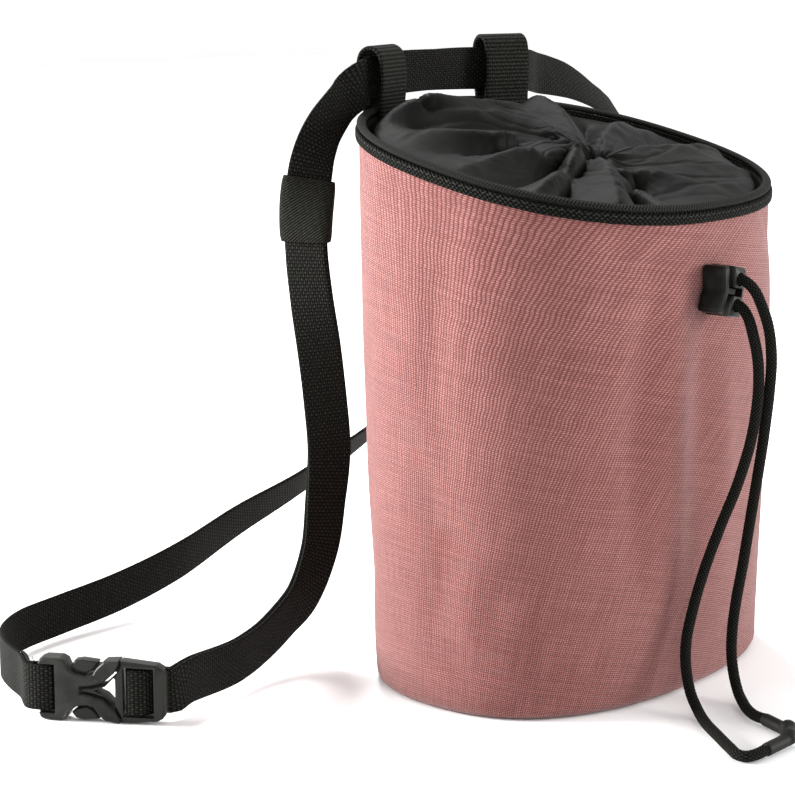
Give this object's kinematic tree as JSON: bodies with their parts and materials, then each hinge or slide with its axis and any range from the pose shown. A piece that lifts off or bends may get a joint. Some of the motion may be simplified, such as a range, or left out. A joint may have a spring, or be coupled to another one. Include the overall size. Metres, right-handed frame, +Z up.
{
  "type": "climbing chalk bag",
  "caption": "Soft fabric climbing chalk bag with a stiff bound rim, a gathered draw-cord closure, a sprung cord lock, belt loops and a buckled waist belt",
  "frame": {"origin": "middle of the base on the floor", "axes": "+Z up; -Y the front, where the cord lock sits; +Y the wearer's side, where the belt loops sit"},
  "size_m": [0.3072, 0.2628, 0.2116],
  "materials": {
    "canvas": "two-tone dusty rose plain weave",
    "webbing": "black woven webbing",
    "binding": "black woven binding tape",
    "nylon": "thin charcoal lining cloth with a soft sheen",
    "plastic": "fine matte moulded grain",
    "cord": "black braided cord"
  },
  "bodies": {
    "bag": {"side_wall": "canvas", "base_panel": "canvas", "rim_band": "binding", "rim_piping": "binding", "closure_collar": "nylon", "belt_loop_left": "webbing", "belt_loop_right": "webbing", "waist_belt": "webbing", "belt_keeper": "webbing", "buckle_socket": "plastic", "buckle_plug": "plastic", "cord_lock_body": "plastic", "draw_cord_upper": "cord", "draw_cord_lower": "cord", "cord_end": "plastic"},
    "lock_button": {"cord_lock_button": "plastic"}
  },
  "joints": [
    {"name": "lock_button", "type": "slide", "parent": "bag", "child": "lock_button", "axis": [0.9781, 0, -0.2079], "range_m": [0, 0.0015], "stiffness_N_per_m": 400, "springref_m": -0.002}
  ]
}
